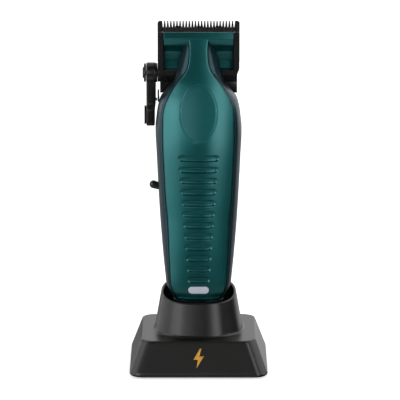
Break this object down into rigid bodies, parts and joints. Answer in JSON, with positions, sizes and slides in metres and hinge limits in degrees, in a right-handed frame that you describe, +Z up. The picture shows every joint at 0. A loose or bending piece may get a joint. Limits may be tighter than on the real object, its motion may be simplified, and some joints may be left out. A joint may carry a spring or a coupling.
{
  "type": "hair clipper",
  "caption": "Cordless hair clipper standing in a square charging stand, with a waisted lacquered body, wide cutting head, taper lever on the left and a side power switch.",
  "frame": {"origin": "centre of the stand's footprint, on the surface it stands on", "axes": "+Z up along the clipper, -Y towards the user (the thumb side), +X to the right seen from that side, so the taper lever is at -X"},
  "size_m": [0.078, 0.078, 0.1959],
  "materials": {
    "satin_black": "satin black injection-moulded ABS with a fine mould texture",
    "teal_lacquer": "deep teal metallic lacquer under clear coat",
    "graphite_paint": "graphite metallic satin paint with a cool tint",
    "gloss_black": "smooth black nylon",
    "blade_coating": "black coated ground steel",
    "steel": "zinc plated",
    "contact_brass": "gold plated",
    "rubber": "matte",
    "board": "solder mask",
    "cell_wrap": "shrink sleeve over a steel can",
    "lens": "frosted diffuser"
  },
  "bodies": {
    "charging_stand": {"stand_shell": "satin_black", "stand_base_plate": "satin_black", "cradle_liner": "satin_black", "stand_pin_holder": "satin_black", "stand_circuit_board": "board", "stand_charge_inlet": "steel", "stand_foot_1": "rubber", "stand_foot_2": "rubber", "stand_foot_3": "rubber", "stand_foot_4": "rubber", "stand_screw_1": "steel", "stand_screw_2": "steel", "stand_screw_3": "steel", "stand_screw_4": "steel"},
    "clipper": {"front_cover": "teal_lacquer", "rear_housing": "graphite_paint", "tail_cap": "gloss_black", "charge_port": "steel", "led_window": "lens", "head_frame": "gloss_black", "motor_can": "steel", "motor_plate": "steel", "battery_cell": "cell_wrap", "battery_tray": "gloss_black", "circuit_board": "board", "led": "lens", "detent_plate": "blade_coating", "switch_body": "gloss_black", "housing_screw_1": "steel", "housing_screw_2": "steel", "housing_screw_3": "steel", "housing_screw_4": "steel", "tail_contact_left": "contact_brass", "motor_screw_left": "steel", "tail_contact_right": "contact_brass", "motor_screw_right": "steel"},
    "left_pin": {"stand_contact_pin_left": "contact_brass"},
    "right_pin": {"stand_contact_pin_right": "contact_brass"},
    "comb_slide": {"comb_blade": "blade_coating", "blade_bracket": "steel", "blade_screw_left": "blade_coating", "blade_screw_right": "blade_coating"},
    "cutter_slide": {"cutter_blade": "blade_coating", "cutter_yoke": "gloss_black"},
    "motor_rotor": {"motor_shaft": "steel", "eccentric_cam": "steel", "cam_bearing": "contact_brass"},
    "taper_control": {"taper_lever": "gloss_black", "lever_shaft": "steel", "lever_screw": "gloss_black", "lever_detent_pin": "blade_coating"},
    "power_switch": {"power_toggle": "gloss_black"}
  },
  "joints": [
    {"name": "lift_out", "type": "slide", "parent": "charging_stand", "child": "clipper", "axis": [0, 0, 1], "range_m": [0, 0.06]},
    {"name": "left_pin_travel", "type": "slide", "parent": "charging_stand", "child": "left_pin", "axis": [0, 0, 1], "range_m": [-0.0015, 0], "stiffness_N_per_m": 200},
    {"name": "right_pin_travel", "type": "slide", "parent": "charging_stand", "child": "right_pin", "axis": [0, 0, 1], "range_m": [-0.0015, 0], "stiffness_N_per_m": 200},
    {"name": "taper_turn", "type": "hinge", "parent": "clipper", "child": "taper_control", "pos_m": [-0.0265, 0.008, 0.167], "axis": [-1, 0, 0], "range_deg": [0, 50]},
    {"name": "comb_travel", "type": "slide", "parent": "clipper", "child": "comb_slide", "axis": [0, 0, -1], "range_m": [0, 0.00186]},
    {"name": "cutter_stroke", "type": "slide", "parent": "clipper", "child": "cutter_slide", "axis": [1, 0, 0], "range_m": [-0.0012, 0.0012]},
    {"name": "motor_spin", "type": "hinge", "parent": "clipper", "child": "motor_rotor", "pos_m": [0, 0.003, 0.1484], "axis": [0, 0, 1], "continuous": true},
    {"name": "switch_throw", "type": "hinge", "parent": "clipper", "child": "power_switch", "pos_m": [-0.0175, 0.004, 0.1006], "axis": [0, -1, 0], "range_deg": [0, 36]}
  ],
  "couplings": [
    {"joint": "taper_turn", "follows": "comb_travel", "rad_per_m": 470}
  ]
}
